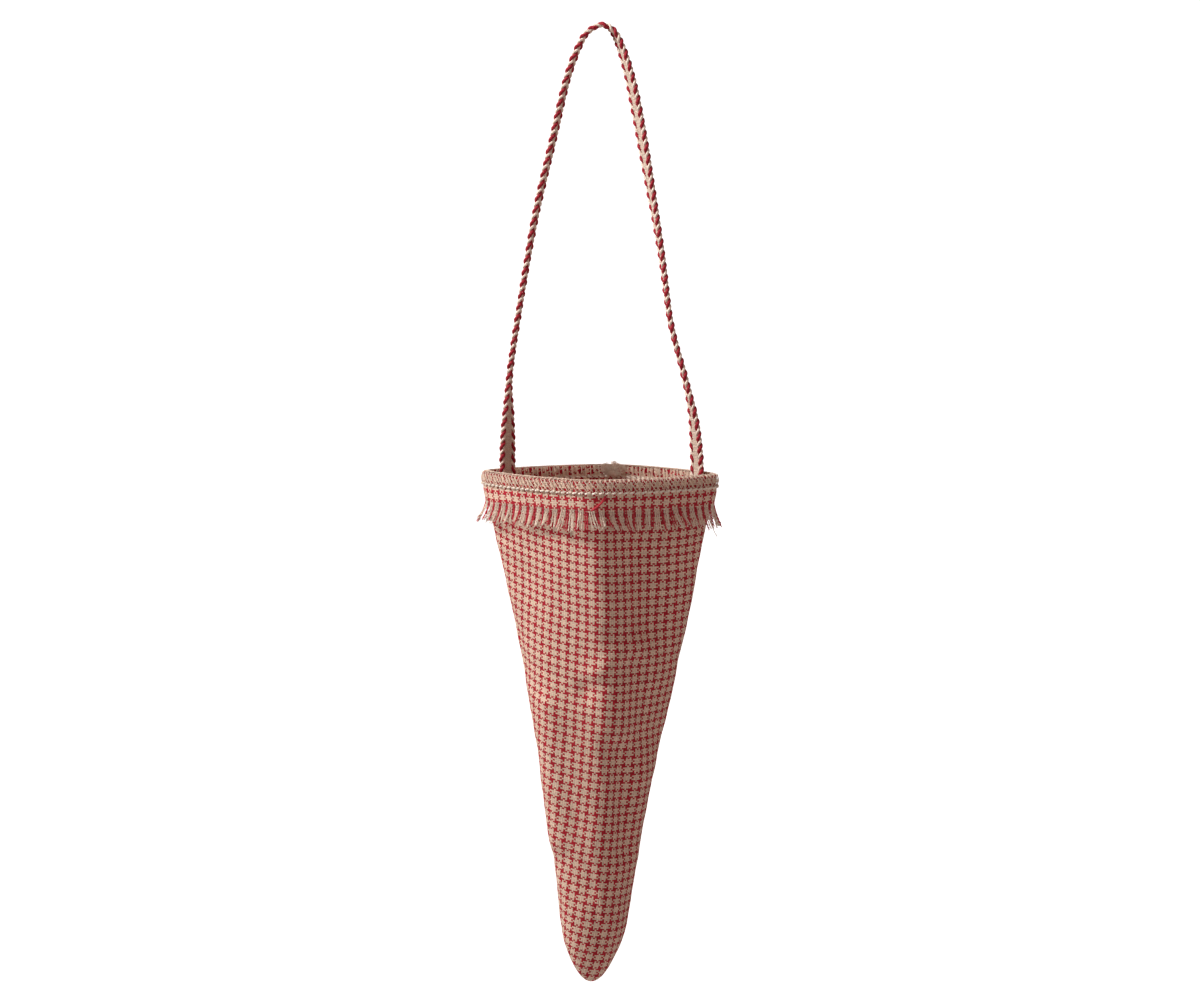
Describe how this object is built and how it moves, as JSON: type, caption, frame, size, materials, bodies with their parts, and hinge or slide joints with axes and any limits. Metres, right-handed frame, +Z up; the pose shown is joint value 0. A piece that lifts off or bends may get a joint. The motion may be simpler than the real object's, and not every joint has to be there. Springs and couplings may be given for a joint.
{
  "type": "fabric gift sack",
  "caption": "Cone-shaped sack of checked woven cloth with a frayed cuff round its open mouth and a braided handle to hang it by.",
  "frame": {"origin": "the underside of the top of the handle, where a hook or a peg carries it", "axes": "+Z up, +X from the handle's left leg to its right leg, -Y towards the front; the hinge line of the handle's two ends runs along X below the origin"},
  "size_m": [0.1066, 0.0736, 0.4198],
  "materials": {
    "checked_cloth": "plain weave of red and natural yarns in a small check",
    "red_yarn": "matt spun yarn",
    "natural_yarn": "matt spun yarn",
    "overlock_thread": "soft bulked thread",
    "cream_thread": "smooth sewing thread with a slight sheen",
    "braid_tape": "flat braided tape with lengthwise ribs",
    "braid_cord": "twisted cord of one red and one natural ply"
  },
  "bodies": {
    "handle": {"handle_tape": "braid_tape", "handle_front_cord": "braid_cord", "handle_back_cord": "braid_cord"},
    "sack": {"cone_wall": "checked_cloth", "back_seam_allowance": "checked_cloth", "cuff_band": "checked_cloth", "fringe_red": "red_yarn", "fringe_natural": "natural_yarn", "rim_overlock_outer": "overlock_thread", "rim_overlock_inner": "overlock_thread", "rim_overlock_edge": "overlock_thread", "back_seam_overlock": "overlock_thread", "overlock_tail": "overlock_thread", "rim_topstitch": "cream_thread", "rim_bobbin_stitch": "cream_thread", "handle_end_stitches": "cream_thread", "left_tape_end": "braid_tape", "right_tape_end": "braid_tape", "left_cord_ends": "braid_cord", "right_cord_ends": "braid_cord"}
  },
  "joints": [
    {"name": "handle_swing", "type": "hinge", "parent": "handle", "child": "sack", "pos_m": [0, 0, -0.18645], "axis": [1, 0, 0], "range_deg": [-80, 80]}
  ]
}
